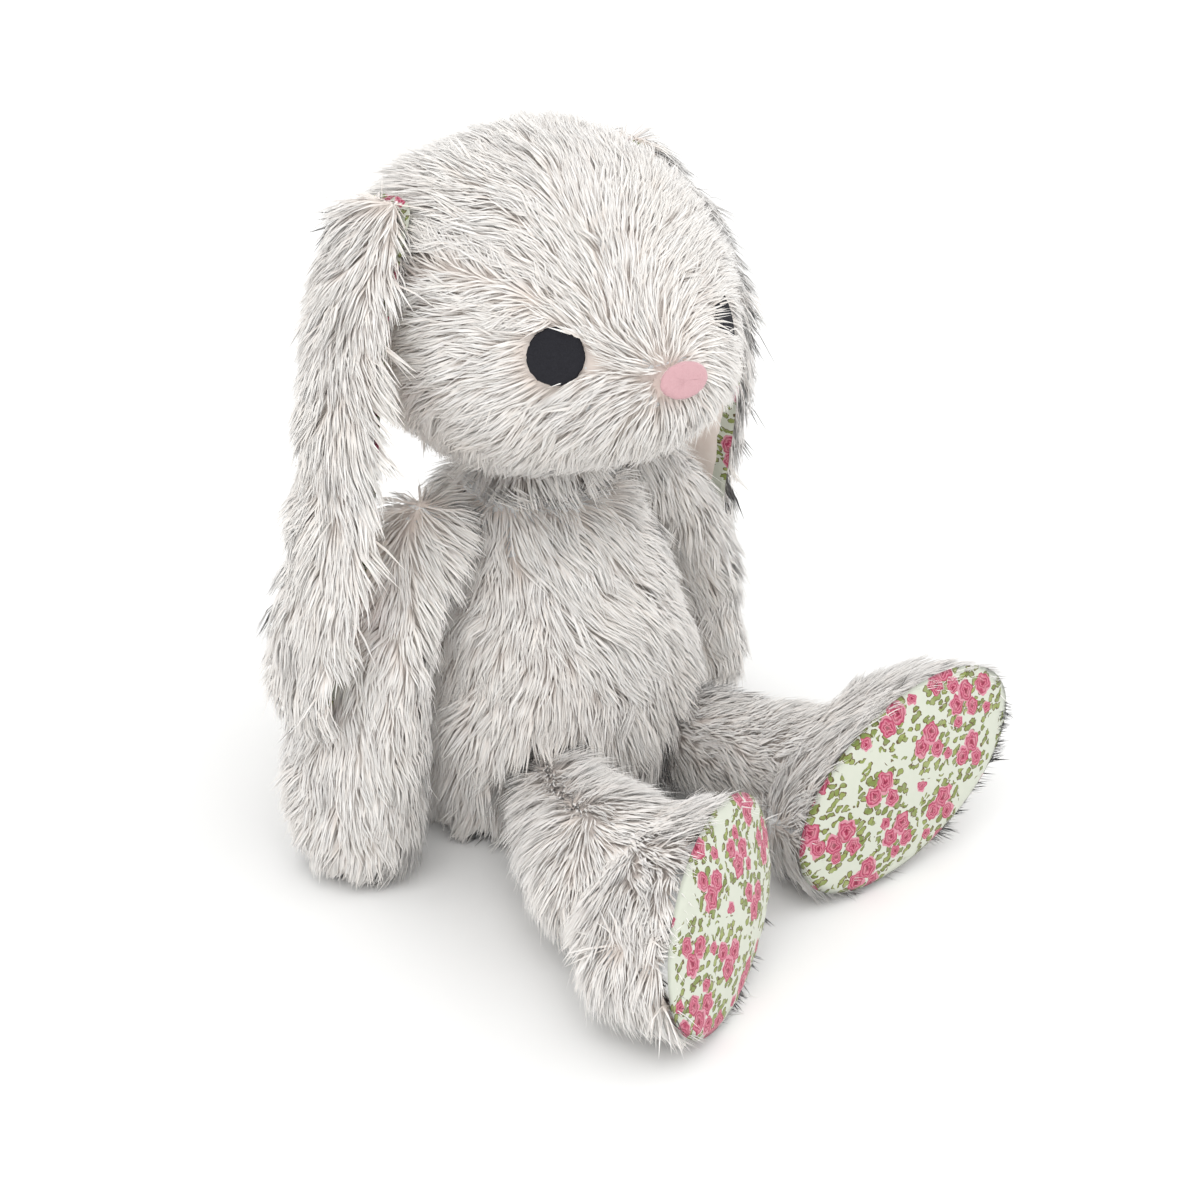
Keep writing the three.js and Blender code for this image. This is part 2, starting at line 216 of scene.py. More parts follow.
def add_node(tree, kind, inputs=None, **settings):
    """Adds a node with its settings; each input is a plain value or another node's output to link."""
    node = tree.nodes.new(kind)
    for name, value in settings.items():
        setattr(node, name, value)
    for name, value in (inputs or {}).items():
        if isinstance(value, bpy.types.NodeSocket):
            tree.links.new(value, node.inputs[name])
        else:
            node.inputs[name].default_value = value
    return node


def new_material(name, **surface):
    """A material with its tree and its surface shader, whose plain values are given by socket name."""
    material = bpy.data.materials.new(name)
    material.use_nodes = True
    tree = material.node_tree
    tree.nodes.clear()
    shader = add_node(tree, "ShaderNodeBsdfPrincipled", surface)
    add_node(tree, "ShaderNodeOutputMaterial", {"Surface": shader.outputs[0]})
    return material, tree, shader


def plush_pile():
    """Brushed polyester pile of faux fur: long, fine, matt fibres, bright at the tips, with painted shade that
    makes them darker and warmer in the depths.
    """
    plush = bpy.context.scene.rabbit_plush
    material, tree, shader = new_material(
        "polyester plush, brushed pile",
        Roughness=0.62,
        **{"Sheen Weight": 0.5, "Sheen Roughness": 0.5, "Specular IOR Level": 0.2},
    )
    along = add_node(tree, "ShaderNodeAttribute", attribute_name="along").outputs["Fac"]
    lock = add_node(tree, "ShaderNodeAttribute", attribute_name="lock").outputs["Fac"]
    place = add_node(tree, "ShaderNodeTexCoord").outputs["Object"]
    patches = add_node(tree, "ShaderNodeTexNoise", {"Vector": place, "Scale": 1 / (28 * MM), "Detail": 2})
    # Painted shade in the depths of the pile: the colour runs from the darker, warmer root colour near the
    # backing to the tip colour.
    depth = add_node(
        tree,
        "ShaderNodeMapRange",
        {"Value": along, "From Min": 0.05, "From Max": 0.6, "To Min": 0, "To Max": 1},
    )
    fibre = add_node(
        tree,
        "ShaderNodeMix",
        {0: depth.outputs[0], 6: (*plush.root_shade_colour, 1), 7: (*plush.tip_colour, 1)},
        data_type="RGBA",
    )
    colour = fibre.outputs[2]
    for amount, dullest in ((lock, "#f8f5f2"), (patches.outputs[0], "#fcf9f6")):
        tint = add_node(
            tree,
            "ShaderNodeMix",
            {0: amount, 6: shade("#ffffff"), 7: shade(dullest)},
            data_type="RGBA",
        )
        colour = add_node(
            tree,
            "ShaderNodeMix",
            {0: 1.0, 6: colour, 7: tint.outputs[2]},
            data_type="RGBA",
            blend_type="MULTIPLY",
        ).outputs[2]
    tree.links.new(colour, shader.inputs["Base Color"])
    return material


def plush_backing():
    """Knitted polyester ground of the plush, dull and pinkish, seen only where the pile parts."""
    material, tree, shader = new_material(
        "polyester plush, knitted ground", Roughness=0.9, **{"Sheen Weight": 0.2}
    )
    place = add_node(tree, "ShaderNodeTexCoord").outputs["Object"]
    rows = add_node(
        tree,
        "ShaderNodeTexWave",
        {"Vector": place, "Scale": 1 / KNIT_WAVE / WAVE_FACTOR, "Distortion": 1.5, "Detail": 2},
        bands_direction="Z",
    )
    fluff = add_node(tree, "ShaderNodeTexNoise", {"Vector": place, "Scale": 1 / (6 * MM), "Detail": 4})
    colour = add_node(
        tree,
        "ShaderNodeMix",
        {0: fluff.outputs[0], 6: shade("#e6d6cb"), 7: shade("#f3ebe4")},
        data_type="RGBA",
    )
    bump = add_node(
        tree,
        "ShaderNodeBump",
        {"Height": rows.outputs[1], "Strength": 0.5, "Distance": 0.4 * MM},
    )
    tree.links.new(colour.outputs[2], shader.inputs["Base Color"])
    tree.links.new(bump.outputs[0], shader.inputs["Normal"])
    return material


def rose_print():
    """Plain-weave cotton with a screen print of small roses: matt, flat inks that the threads break up."""
    cotton = bpy.context.scene.rabbit_cotton
    material, tree, shader = new_material(
        "cotton, plain weave, rose print", Roughness=0.85, **{"Sheen Weight": 0.12}
    )
    sums, vectors, mix = "ShaderNodeMath", "ShaderNodeVectorMath", "ShaderNodeMix"
    flat = add_node(tree, "ShaderNodeUVMap", uv_map="cut").outputs[0]
    wobble = add_node(
        tree,
        "ShaderNodeTexNoise",
        {"Vector": flat, "Scale": 1 / (3 * MM), "Detail": 2},
        noise_dimensions="2D",
    )
    pushed = add_node(
        tree, vectors, {0: wobble.outputs["Color"], 1: (0.5, 0.5, 0.5)}, operation="SUBTRACT"
    ).outputs[0]
    drawn = add_node(
        tree, vectors, {0: pushed, 1: (2.4 * MM,) * 3, 2: flat}, operation="MULTIPLY_ADD"
    ).outputs[0]

    def spray(shift, spacing, randomness):
        """Distance and direction from the nearest spray's middle, and that spray's random numbers."""
        apart = (shift[0] * MM, shift[1] * MM, 0)
        moved = add_node(tree, vectors, {0: drawn, 1: apart}, operation="ADD").outputs[0]
        cells = add_node(
            tree,
            "ShaderNodeTexVoronoi",
            {"Vector": moved, "Scale": 1 / spacing, "Randomness": randomness},
            voronoi_dimensions="2D",
        )
        offset = add_node(tree, vectors, {0: moved, 1: cells.outputs["Position"]}, operation="SUBTRACT")
        x, y, _ = add_node(tree, "ShaderNodeSeparateXYZ", {0: offset.outputs[0]}).outputs
        angle = add_node(tree, sums, {0: y, 1: x}, operation="ARCTAN2").outputs[0]
        chance = add_node(tree, "ShaderNodeSeparateColor", {0: cells.outputs["Color"]}).outputs
        reach = add_node(
            tree, sums, {0: cells.outputs["Distance"], 1: spacing}, operation="MULTIPLY"
        ).outputs[0]
        return reach, angle, chance

    def rose(colour, shift, spacing, randomness, radius, least):
        """Lays a rose of that radius on the colour in every spray whose random number is over `least`."""
        reach, angle, chance = spray(shift, spacing, randomness)
        turned = add_node(
            tree, sums, {0: chance[1], 1: 6.3, 2: angle}, operation="MULTIPLY_ADD"
        ).outputs[0]
        twist = add_node(tree, sums, {0: turned}, operation="SINE").outputs[0]
        swirl = add_node(tree, sums, {0: twist, 1: 0.16}, operation="MULTIPLY").outputs[0]
        fivefold = add_node(tree, sums, {0: turned, 1: 5.0}, operation="MULTIPLY").outputs[0]
        lobes = add_node(tree, sums, {0: fivefold}, operation="SINE").outputs[0]
        petals = add_node(tree, sums, {0: lobes, 1: 0.07}, operation="MULTIPLY").outputs[0]
        out = add_node(tree, sums, {0: reach, 1: radius}, operation="DIVIDE").outputs[0]
        share = add_node(tree, sums, {0: out, 1: petals}, operation="ADD").outputs[0]
        ring = add_node(tree, sums, {0: share, 1: swirl}, operation="ADD").outputs[0]
        ramp = add_node(tree, "ShaderNodeValToRGB", {0: ring})
        stops = ramp.color_ramp.elements
        tones = [
            (0.0, shade("#7d1636")),
            (0.22, shade("#9f2549")),
            (0.32, shade("#cf8093")),
            (0.42, (*cotton.rose_colour, 1)),
            (0.52, shade("#8a1d3f")),
            (0.58, shade("#cc7c8f")),
            (0.76, shade("#b24564")),
            (0.86, shade("#922143")),
            (0.92, shade("#cb8294")),
        ]
        for index, (where, tone) in enumerate(tones):
            stop = stops[index] if index < 2 else stops.new(where)
            stop.position = where
            stop.color = tone
        inside = add_node(tree, sums, {0: share, 1: 1.0}, operation="LESS_THAN").outputs[0]
        blooms = add_node(tree, sums, {0: chance[0], 1: least}, operation="GREATER_THAN").outputs[0]
        here = add_node(tree, sums, {0: inside, 1: blooms}, operation="MULTIPLY").outputs[0]
        laid = {0: here, 6: colour, 7: ramp.outputs[0]}
        return add_node(tree, mix, laid, data_type="RGBA").outputs[2]

    # Leaves: narrow cells of a finer pattern, kept near the sprays, brown at their rims.
    reach, _, _ = spray((0, 0), cotton.repeat, 0.6)
    stretched = add_node(tree, vectors, {0: drawn, 1: (1.0, 1.7, 1.0)}, operation="MULTIPLY")
    foliage = add_node(
        tree,
        "ShaderNodeTexVoronoi",
        {"Vector": stretched.outputs[0], "Scale": 1 / (3.7 * MM), "Randomness": 1.0},
        voronoi_dimensions="2D",
    )
    chance = add_node(tree, "ShaderNodeSeparateColor", {0: foliage.outputs["Color"]}).outputs
    from_spray = add_node(
        tree, sums, {0: chance[1], 1: 3 * MM, 2: reach}, operation="MULTIPLY_ADD"
    ).outputs[0]
    near = add_node(tree, sums, {0: from_spray, 1: 13 * MM}, operation="LESS_THAN").outputs[0]
    sprouts = add_node(tree, sums, {0: chance[0], 1: 0.18}, operation="GREATER_THAN").outputs[0]
    picked = add_node(tree, sums, {0: near, 1: sprouts}, operation="MULTIPLY").outputs[0]
    greens = {0: chance[2], 6: (*cotton.leaf_colour, 1), 7: shade("#8f9a55")}
    green = add_node(tree, mix, greens, data_type="RGBA").outputs[2]
    colour = (*cotton.ground_colour, 1)
    for size, ink in ((0.46, shade("#5d4d2a")), (0.34, green)):
        within = add_node(
            tree, sums, {0: foliage.outputs["Distance"], 1: size}, operation="LESS_THAN"
        ).outputs[0]
        here = add_node(tree, sums, {0: picked, 1: within}, operation="MULTIPLY").outputs[0]
        colour = add_node(tree, mix, {0: here, 6: colour, 7: ink}, data_type="RGBA").outputs[2]
    colour = rose(colour, (9, 11), 15 * MM, 0.8, 2.2 * MM, 0.4)
    colour = rose(colour, (-3.0, 4.2), cotton.repeat, 0.6, 3.2 * MM, 0.35)
    colour = rose(colour, (3.8, -1.2), cotton.repeat, 0.6, 3.7 * MM, 0.12)
    colour = rose(colour, (-2.6, -2.8), cotton.repeat, 0.6, 4.0 * MM, -1.0)

    threads = {"Vector": flat, "Scale": 1 / THREAD_WAVE / WAVE_FACTOR, "Distortion": 0.4}
    warp = add_node(tree, "ShaderNodeTexWave", threads, bands_direction="X").outputs[1]
    weft = add_node(tree, "ShaderNodeTexWave", threads, bands_direction="Y").outputs[1]
    weave = add_node(tree, sums, {0: warp, 1: weft}, operation="MULTIPLY").outputs[0]
    worn = add_node(tree, sums, {0: weave, 1: 0.12}, operation="MULTIPLY").outputs[0]
    faded = add_node(tree, mix, {0: worn, 6: colour, 7: shade("#d9d6cc")}, data_type="RGBA")
    bump = add_node(tree, "ShaderNodeBump", {"Height": weave, "Strength": 0.35, "Distance": 0.15 * MM})
    tree.links.new(faded.outputs[2], shader.inputs["Base Color"])
    tree.links.new(bump.outputs[0], shader.inputs["Normal"])
    return material


def fuzzy_cloth(name, dark, light, fibre, strength, **surface):
    """A felted or cut-pile cloth: short fibres at all angles that catch light along their sides."""
    material, tree, shader = new_material(name, **surface)
    place = add_node(tree, "ShaderNodeTexCoord").outputs["Object"]
    strands = add_node(
        tree,
        "ShaderNodeTexNoise",
        {"Vector": place, "Scale": 1 / fibre, "Detail": 6, "Roughness": 0.7, "Distortion": 1.2},
    )
    colour = add_node(tree, "ShaderNodeMix", {0: strands.outputs[0], 6: dark, 7: light}, data_type="RGBA")
    bump = add_node(
        tree,
        "ShaderNodeBump",
        {"Height": strands.outputs[0], "Strength": strength, "Distance": 0.5 * MM},
    )
    tree.links.new(colour.outputs[2], shader.inputs["Base Color"])
    tree.links.new(bump.outputs[0], shader.inputs["Normal"])
    return material


def black_felt():
    """Needled polyester felt, cut with a die: matt and near black, with loose fibres on top."""
    eye = bpy.context.scene.rabbit_face.eye_colour
    return fuzzy_cloth(
        "polyester felt, needled, black",
        (*eye, 1),
        shade("#34343a"),
        0.8 * MM,
        0.8,
        Roughness=0.95,
        **{"Specular IOR Level": 0.2},
    )


def pink_velour():
    """Cut-pile velour: soft, slightly bright at grazing angles."""
    nose = bpy.context.scene.rabbit_face.nose_colour
    return fuzzy_cloth(
        "polyester velour, cut pile, pink",
        (*nose, 1),
        shade("#d2abb0"),
        1.0 * MM,
        0.5,
        Roughness=0.8,
        **{"Sheen Weight": 0.5, "Sheen Roughness": 0.35},
    )


def hollow_fibre():
    """Loose polyester stuffing: white crimped fibres in clumps."""
    return fuzzy_cloth(
        "polyester fibre, carded",
        shade("#e9e9e8"),
        shade("#fbfbfb"),
        3 * MM,
        0.9,
        Roughness=0.95,
        **{"Sheen Weight": 0.3},
    )


def pellet_bag_cloth():
    """Unbleached cotton bag of the seat's pellets."""
    return fuzzy_cloth(
        "cotton, unbleached, plain weave",
        shade("#cfc8b6"),
        shade("#e3decf"),
        1.2 * MM,
        0.5,
        Roughness=0.9,
    )


MATERIALS = {}


def finish_of(make):
    """The material that a function makes, made once."""
    if make.__name__ not in MATERIALS:
        MATERIALS[make.__name__] = make()
    return MATERIALS[make.__name__]


# ---- meshes -----------------------------------------------------------------------------------------------


def corners(mesh, attribute="co"):
    """The vertices' places, or normals, as rows of an array."""
    values = np.empty(len(mesh.vertices) * 3)
    mesh.vertices.foreach_get(attribute, values)
    return values.reshape(-1, 3)


def link(name, mesh):
    thing = bpy.data.objects.new(name, mesh)
    bpy.context.scene.collection.objects.link(thing)
    return thing


def shade_smooth(mesh):
    mesh.polygons.foreach_set("use_smooth", np.ones(len(mesh.polygons), bool))


def mesh_of(name, vertices, faces):
    """A smooth-shaded mesh of these vertices and faces."""
    mesh = bpy.data.meshes.new(name)
    mesh.from_pydata([tuple(vertex) for vertex in vertices], [], faces)
    shade_smooth(mesh)
    return mesh


def unit(rows):
    return rows / np.maximum(np.linalg.norm(rows, axis=-1, keepdims=True), 1e-9)


def node_tree_of(*names):
    """A search tree over the faces of these CAD nodes."""
    points, faces = [], []
    for name in names:
        mesh = frame["nodes"][name].data
        faces += [[len(points) + i for i in polygon.vertices] for polygon in mesh.polygons]
        points += [vertex.co.copy() for vertex in mesh.vertices]
    return BVHTree.FromPolygons(points, faces)


def body_nodes(body):
    return list(frame["record"]["behaviour"]["bodies"][body])


def distances(tree, points, most):
    """How far each point is outside the nearest face within `most`, negative behind it, and `most` if none is."""
    found = np.full(len(points), most)
    for index, point in enumerate(points):
        place, normal, _, _ = tree.find_nearest(Vector(point), most)
        if place is not None:
            away = Vector(point) - place
            found[index] = math.copysign(away.length, away.dot(normal))
    return found


def evaluated_mesh(thing):
    bpy.context.view_layer.update()
    return bpy.data.meshes.new_from_object(thing.evaluated_get(bpy.context.evaluated_depsgraph_get()))


def cover_over(name, nodes, panels, voxel=VOXEL, depth=BACKING_DEPTH):
    """The knitted ground of the plush over these CAD nodes: one closed, even mesh just inside their outside,
    crowned between the seams of its panels by the stuffing's pressure."""
    whole = bmesh.new()
    for node in nodes:
        whole.from_mesh(frame["nodes"][node].data)
    rough_mesh = bpy.data.meshes.new(name)
    whole.to_mesh(rough_mesh)
    whole.free()
    rough = link(name + "_rough", rough_mesh)
    even = rough.modifiers.new("even", "REMESH")
    even.mode = "VOXEL"
    even.voxel_size = voxel
    relax = rough.modifiers.new("relax", "SMOOTH")
    relax.factor = 0.6
    relax.iterations = 4
    mesh = evaluated_mesh(rough)
    bpy.data.objects.remove(rough)
    mesh.vertices.foreach_set("co", (corners(mesh) - depth * corners(mesh, "normal")).ravel())
    mesh.update()
    cover = link(name, mesh)
    plump(cover, panels)
    shade_smooth(cover.data)
    cover.data.materials.clear()
    cover.data.materials.append(finish_of(plush_backing))
    return cover


def plump(cover, panels):
    """Swells the cover with cloth pressure while its seams are held, so that each panel crowns between them."""
    start = corners(cover.data)
    seam = cover.vertex_groups.new(name="seam")
    if len(panels) > 1:
        near = [np.abs(distances(node_tree_of(panel), start, SEAM_SEARCH)) for panel in panels]
        second = np.sort(np.array(near), axis=0)[1]
        seam.add(np.flatnonzero(second < SEAM_HELD).tolist(), 1.0, "REPLACE")
    cloth = cover.modifiers.new("stuffing", "CLOTH")
    cloth.settings.use_pressure = True
    cloth.settings.uniform_pressure_force = CLOTH_PRESSURE
    cloth.settings.effector_weights.gravity = 0
    cloth.settings.vertex_group_mass = seam.name
    cloth.collision_settings.use_collision = False
    cloth.point_cache.frame_end = CLOTH_FRAMES
    scene = bpy.context.scene
    for step in range(1, CLOTH_FRAMES + 1):
        scene.frame_set(step)
    swollen = evaluated_mesh(cover)
    moved = corners(swollen) - start
    far = np.linalg.norm(moved, axis=1, keepdims=True)
    moved *= np.minimum(1, CLOTH_MOST / np.maximum(far, 1e-9))
    cover.modifiers.remove(cloth)
    cover.vertex_groups.remove(seam)
    scene.frame_set(1)
    cover.data.vertices.foreach_set("co", (start + moved).ravel())
    cover.data.update()
    bpy.data.meshes.remove(swollen)


# ---- pile -------------------------------------------------------------------------------------------------


def spread_roots(mesh, per_cm2, draw):
    """Points spread over a mesh by area, with the smooth normal at each."""
    mesh.calc_loop_triangles()
    triangles = np.empty(len(mesh.loop_triangles) * 3, int)
    mesh.loop_triangles.foreach_get("vertices", triangles)
    triangles = triangles.reshape(-1, 3)
    place, normal = corners(mesh), corners(mesh, "normal")
    a, b, c = (place[triangles[:, k]] for k in range(3))
    area = np.linalg.norm(np.cross(b - a, c - a), axis=1) / 2
    total = np.cumsum(area)
    count = int(total[-1] * 1e4 * per_cm2)
    at = (np.arange(count) + draw.random(count)) / count * total[-1]
    pick = np.minimum(np.searchsorted(total, at), len(area) - 1)
    share = np.sort(draw.random((count, 2)), axis=1)
    weights = np.stack([share[:, 0], share[:, 1] - share[:, 0], 1 - share[:, 1]], axis=1)
    chosen = triangles[pick]
    points = (place[chosen] * weights[:, :, None]).sum(axis=1)
    normals = unit((normal[chosen] * weights[:, :, None]).sum(axis=1))
    return points, normals


def along_surface(directions, normals):
    flat = directions - (directions * normals).sum(axis=1, keepdims=True) * normals
    spare = np.cross(normals, np.array([1.0, 0.3, 0.2]))
    flat = np.where(np.linalg.norm(flat, axis=1, keepdims=True) < 0.05, spare, flat)
    return unit(flat)


def brushed(points, kind):
    """A smooth number from about -1 to 1 over the cover, for the way it has been handled."""
    waves = np.random.default_rng(SEED + 90 + kind).normal(0, 1, (6, 4))
    total = sum(np.sin(points @ wave[:3] / SWIRL * 2.4 + 9 * wave[3]) for wave in waves)
    return total / 2.6


def lock_paths(points, normals, pile, comb, draw, longer=None):
    """Middle and tip of each lock, its width and its own random number."""
    count = len(points)
    spacing = max(int(pile.per_cm2 * (pile.clump * 100) ** 2), 1)
    middles = draw.permutation(count)[: max(count // spacing, 1)]
    finder = KDTree(len(middles))
    for order, index in enumerate(middles):
        finder.insert(points[index], order)
    finder.balance()
    clump = np.array([finder.find(point)[1] for point in points])
    own_sway = draw.normal(0, 1, (len(middles), 3))[clump]
    along = along_surface(comb(points, normals), normals)
    side = np.cross(along, normals)
    swing = 0.2 * own_sway[:, 0] + draw.normal(0, 0.13, count)
    swing += 0.38 * brushed(points, 0)
    along = along * np.cos(swing)[:, None] + side * np.sin(swing)[:, None]
    stray = draw.random(count) < 0.08
    lift = 1 + 0.14 * own_sway[:, 1] + 0.22 * brushed(points, 1) + draw.normal(0, 0.14, count)
    lift *= np.radians(pile.lift)
    lift = np.where(stray, lift + 0.35, lift)[:, None]
    length = pile.length * (1 + 0.12 * own_sway[:, 2] + draw.normal(0, 0.14, count))
    length = np.maximum(length, pile.length * 0.4)[:, None]
    if longer is not None:
        length = length * (1 + longer(points))[:, None]
    middle = points + 0.5 * length * (along * np.cos(lift) + normals * np.sin(lift))
    settled = 0.12 * lift
    tip = middle + 0.5 * length * (along * np.cos(settled) + normals * np.sin(settled))
    centre = middles[clump]
    alike = (normals * normals[centre]).sum(axis=1, keepdims=True) > 0.6
    pull = np.where(alike & ~stray[:, None], pile.gather, 0.0)
    middle = middle + (middle[centre] - middle) * pull * 0.3
    tip = tip + (tip[centre] - tip) * pull
    width = pile.width * np.exp(draw.normal(0, 0.22, count))
    width = np.where(stray, 0.45 * width, width)
    return middle, tip, width, draw.random(count)


LOCK_RINGS = ((0.0, 0.9), (0.5, 1.0))  # where along the lock each ring is, and its share of the width
# Three corners at the root, three half way and the tip: the sides, the three faces of the point, and the base.
LOCK_FACES = ((3, 4, 1, 0), (4, 5, 2, 1), (5, 3, 0, 2), (6, 4, 3), (6, 5, 4), (6, 3, 5), (1, 2, 0))


def lock_mesh(name, root, middle, tip, normals, width, own):
    """Each lock as a thin closed spike of three sides that bends once and ends in a point."""
    count = len(root)
    side = unit(np.cross(tip - root, normals))
    rings = []
    for where, share in LOCK_RINGS:
        place = ((1 - where) ** 2 * root + 2 * where * (1 - where) * middle + where**2 * tip)
        half = side * (width * share / 2)[:, None]
        ridge = normals * (width * share * 0.45)[:, None]
        rings += [place - half, place + half, place + ridge]
    vertices = np.stack([*rings, tip], axis=1)
    vertices[:, :, 2] = np.maximum(vertices[:, :, 2], GROUND_CLEARANCE)
    per_lock = vertices.shape[1]
    pattern = np.array([corner for face in LOCK_FACES for corner in face])
    starts = np.concatenate([[0], np.cumsum([len(face) for face in LOCK_FACES])[:-1]])
    loops = (np.arange(count)[:, None] * per_lock + pattern).ravel()
    loop_starts = (np.arange(count)[:, None] * len(pattern) + starts).ravel()
    mesh = bpy.data.meshes.new(name)
    mesh.vertices.add(count * per_lock)
    mesh.vertices.foreach_set("co", vertices.astype(np.float32).ravel())
    mesh.loops.add(len(loops))
    mesh.loops.foreach_set("vertex_index", loops.astype(np.int32))
    mesh.polygons.add(len(loop_starts))
    mesh.polygons.foreach_set("loop_start", loop_starts.astype(np.int32))
    mesh.update(calc_edges=True)
    shade_smooth(mesh)
    heights = np.array([0, 0, 0, 0.5, 0.5, 0.5, 1.0])
    along = mesh.attributes.new("along", "FLOAT", "POINT")
    along.data.foreach_set("value", np.tile(heights, count).astype(np.float32))
    lock = mesh.attributes.new("lock", "FLOAT", "POINT")
    lock.data.foreach_set("value", np.repeat(own, per_lock).astype(np.float32))
    # Each lock has a small cell of the map to itself, root to tip.
    cells = max(math.ceil(math.sqrt(count)), 1)
    across = np.array([0.1, 0.9, 0.5, 0.1, 0.9, 0.5, 0.5])
    cell = np.stack([np.arange(count) % cells, np.arange(count) // cells], axis=1)
    local = np.stack([across, 0.1 + 0.8 * heights], axis=1)[pattern]
    layer = mesh.uv_layers.new(name="OFBake")
    layer.uv.foreach_set("vector", ((cell[:, None] + local) / cells).astype(np.float32).ravel())
    # The fibres scatter light among themselves, so a lock is shaded mostly as the cover's own roundness.
    own_normals = corners(mesh, "normal")
    smooth = unit(np.repeat(normals, per_lock, axis=0) + OWN_ROUNDNESS * own_normals)
    mesh.normals_split_custom_set_from_vertices(smooth)
    mesh.materials.append(finish_of(plush_pile))
    return link(name, mesh)


def grow_pile(cover, body, panels, pile, comb, bare=None, draw_from=0, shy=True, longer=None):
    """Grows the pile of every panel from the cover. Each panel's locks are one piece, which stands for that
    panel's CAD node. `comb` gives the way the locks lie, `bare` the roots that are left out, `shy` leaves out
    those against a neighbouring limb, and `longer` gives the share by which a lock is longer than its pile."""
    draw = np.random.default_rng(SEED + draw_from)
    points, normals = spread_roots(cover.data, pile.per_cm2, draw)
    open_ = np.ones(len(points), bool)
    neighbours = [
        node
        for joint in frame["joints"]
        for mine, other in ((joint["parent"], joint["child"]), (joint["child"], joint["parent"]))
        if mine == body
        for node in body_nodes(other)
        if "lining" not in node
    ]
    if neighbours and shy:
        open_ &= distances(node_tree_of(*neighbours), points, NEIGHBOUR_SEARCH) > PANEL_HIDDEN
    if bare is not None:
        open_ &= ~bare(points, normals)
    underneath = (normals[:, 2] < -0.8) & (points[:, 2] < 7 * MM)
    open_ &= ~(underneath & (draw.random(len(points)) < 0.6))
    points, normals = points[open_], normals[open_]
    middle, tip, width, own = lock_paths(points, normals, pile, comb, draw, longer)
    if bare is not None:
        clear = ~bare(tip, normals) | (draw.random(len(points)) < TIPS_OVER_EDGES)
        points, normals, middle, tip, width, own = (
            values[clear] for values in (points, normals, middle, tip, width, own)
        )
    near = [np.abs(distances(node_tree_of(panel), points, PANEL_SEARCH)) for panel in panels]
    mine = np.array(near).argmin(axis=0)
    grown = []
    for order, panel in enumerate(panels):
        on = mine == order
        name = panel.replace("_panel", "").replace("_stuffing", "") + "_pile"
        piece = lock_mesh(name, points[on], middle[on], tip[on], normals[on], width[on], own[on])
        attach(piece, body)
        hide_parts(panel)
        grown.append(piece)
    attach(cover, body)
    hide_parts(*panels)
    return grown


def parted(comb, line):
    """The same way of lying, but combed away from a line of points along a seam."""
    ends = [np.array(point, float) * MM for point in line]

    def way(points, normals):
        best = np.full(len(points), np.inf)
        away = np.zeros_like(points)
        for a, b in zip(ends, ends[1:]):
            share = np.clip((points - a) @ (b - a) / ((b - a) @ (b - a)), 0, 1)
            gap = points - (a + share[:, None] * (b - a))
            far = np.linalg.norm(gap, axis=1)
            closer = far < best
            best[closer], away[closer] = far[closer], gap[closer]
        pull = np.clip(1 - best / PARTING, 0, 1)[:, None] ** 0.5
        return unit(comb(points, normals)) * (1 - pull) + 1.6 * pull * unit(away)

    return way


def combed(*directions):
    """One direction for the whole cover."""
    way = np.array(directions, float)
    return lambda points, normals: np.broadcast_to(way, points.shape)


def down_and_out(centre, outwards):
    """Down, and away from an upright line through the centre."""

    def way(points, normals):
        away = points - np.array(centre)
        away[:, 2] = 0
        return unit(away) * outwards + np.array([0, 0, -1.0])

    return way


def middle_of(node):
    low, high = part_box(node)
    return np.array((low + high) / 2)


def patch_frame(node, towards):
    """Middle, long direction, short direction and outward normal of a flat CAD node, and its half sizes."""
    places = corners(frame["nodes"][node].data)
    middle = places.mean(axis=0)
    _, _, axes = np.linalg.svd(places - middle, full_matrices=False)
    normal = axes[2] * (1 if axes[2] @ np.array(towards) > 0 else -1)
    long_ = axes[0] * (1 if axes[0][0] > 0 else -1)
    short = np.cross(normal, long_)
    local = (places - middle) @ np.stack([long_, short, normal], axis=1)
    centre = middle + np.stack([long_, short, normal], axis=1) @ (
        (local.max(axis=0) + local.min(axis=0)) / 2
    )
    half = (local.max(axis=0) - local.min(axis=0)) / 2
    return centre, long_, short, normal, half


# ---- operators --------------------------------------------------------------------------------------------


class RABBIT_OT_torso(bpy.types.Operator):
    """Torso in body-length pile, with the neck and the tail"""

    bl_idname = "rabbit.torso"
    bl_label = "Torso and tail"

    def execute(self, context):
        pile = BODY_PILE._replace(length=context.scene.rabbit_plush.body_pile)
        panels = ["torso_front_panel", "torso_back_panel"]
        cover = cover_over("torso_plush", [*panels, "torso_stuffing", "seat_pellet_bag"], panels)
        tail = node_tree_of("tail_cover")

        def under_tail(points, normals):
            return distances(tail, points, 6 * MM) < PANEL_HIDDEN

        grow_pile(cover, "torso", panels, pile, down_and_out((0, 0, 0), 0.25), under_tail, 1)
        tail_cover = cover_over("tail_plush", ["tail_cover", "tail_stuffing"], ["tail_cover"], 3 * MM)
        torso = node_tree_of(*panels)

        def against_torso(points, normals):
            return distances(torso, points, 6 * MM) < 1 * MM

        grow_pile(tail_cover, "torso", ["tail_cover"], TAIL_PILE, combed(0, 1, -0.8), against_torso, 2)
        self.neck()
        return {"FINISHED"}

    def neck(self):
        """The short plush neck between the torso and the head, whose pile closes the gap."""
        cover = cover_over("neck_plush", ["neck_stuffing"], ["neck_stuffing"], 3 * MM, 2 * MM)
        low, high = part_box("neck_stuffing")
        middle = (low + high) / 2

        def inside(points, normals):
            return np.abs(points[:, 2] - middle.z) > 16 * MM

        pile = down_and_out(middle, 2.2)
        grow_pile(cover, "neck", ["neck_stuffing"], NECK_PILE, pile, inside, 5, shy=False)


